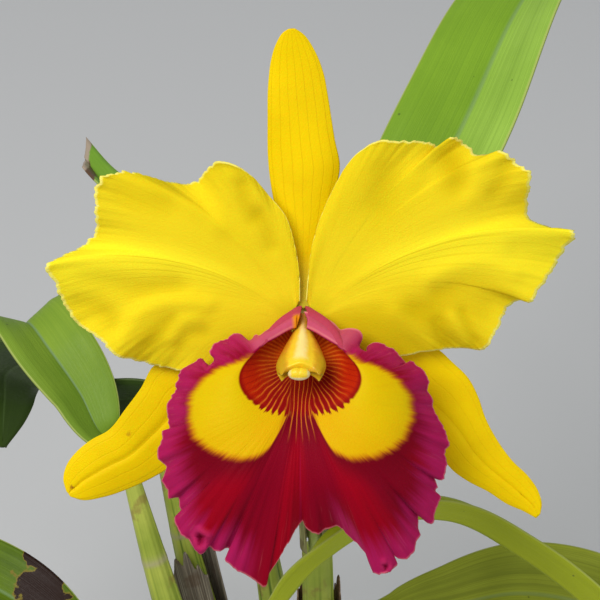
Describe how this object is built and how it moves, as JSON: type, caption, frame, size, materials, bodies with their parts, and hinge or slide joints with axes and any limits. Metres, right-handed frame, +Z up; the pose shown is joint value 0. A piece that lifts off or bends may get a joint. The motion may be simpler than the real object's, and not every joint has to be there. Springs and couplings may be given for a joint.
{
  "type": "potted cattleya orchid",
  "caption": "Cattleya orchid in a plain nursery pot: a ruffled open bloom with petals, sepals, lip and column on a stalk, over pseudobulbs and strap leaves",
  "frame": {"origin": "middle of the pot's flat underside, on the surface it stands on", "axes": "+Z up; the bloom faces -Y and upwards, with its dorsal sepal leaning back; +X to the right of someone looking along +Y"},
  "size_m": [0.3212, 0.347, 0.4371],
  "materials": {
    "pot_plastic": "dark grey moulded plastic, satin, a little dusty",
    "coconut_husk": "red-brown coconut husk chips and fibre, dry and rough",
    "rhizome_skin": "olive green skin with brown scars, pale grey roots",
    "pseudobulb_skin": "yellow-green, grooved, satin",
    "dry_sheath_paper": "dry papery sheath, grey-tan, fibrous",
    "leaf_skin": "yellow-green leathery leaf, satin, pale midrib and edge",
    "old_leaf_skin": "dark green leathery leaf, satin",
    "flower_sheath_paper": "thin green-tan papery sheath",
    "stalk_skin": "pale green, smooth, satin",
    "sepal_flesh": "golden yellow, fleshy, soft sheen",
    "petal_flesh": "bright yellow, fine crystalline sheen, ruffled edge",
    "lip_flesh": "crimson velvet with two yellow eyes, magenta ruffled edge and veined orange throat",
    "column_flesh": "cream and yellow, waxy",
    "anther_cap_flesh": "pale yellow to cream, waxy"
  },
  "bodies": {
    "root": {"pot": "pot_plastic", "potting_mix": "coconut_husk", "rhizome": "rhizome_skin", "pseudobulb_flowering": "pseudobulb_skin", "pseudobulb_left_front": "pseudobulb_skin", "pseudobulb_left_back": "pseudobulb_skin", "pseudobulb_front": "pseudobulb_skin", "pseudobulb_middle": "pseudobulb_skin", "pseudobulb_right": "pseudobulb_skin", "pseudobulb_left_low": "pseudobulb_skin", "dry_sheath_flowering": "dry_sheath_paper", "dry_sheath_left": "dry_sheath_paper", "leaf_upper_right": "leaf_skin", "leaf_left": "leaf_skin", "leaf_left_back": "old_leaf_skin", "leaf_front": "leaf_skin", "leaf_middle_cut": "leaf_skin", "leaf_right_low": "leaf_skin", "leaf_left_low": "leaf_skin", "flower_sheath": "flower_sheath_paper", "flower_stalk": "stalk_skin", "dorsal_sepal": "sepal_flesh", "sepal_left": "sepal_flesh", "sepal_right": "sepal_flesh", "petal_left": "petal_flesh", "petal_right": "petal_flesh", "lip": "lip_flesh", "column": "column_flesh", "anther_cap": "anther_cap_flesh"}
  },
  "joints": []
}
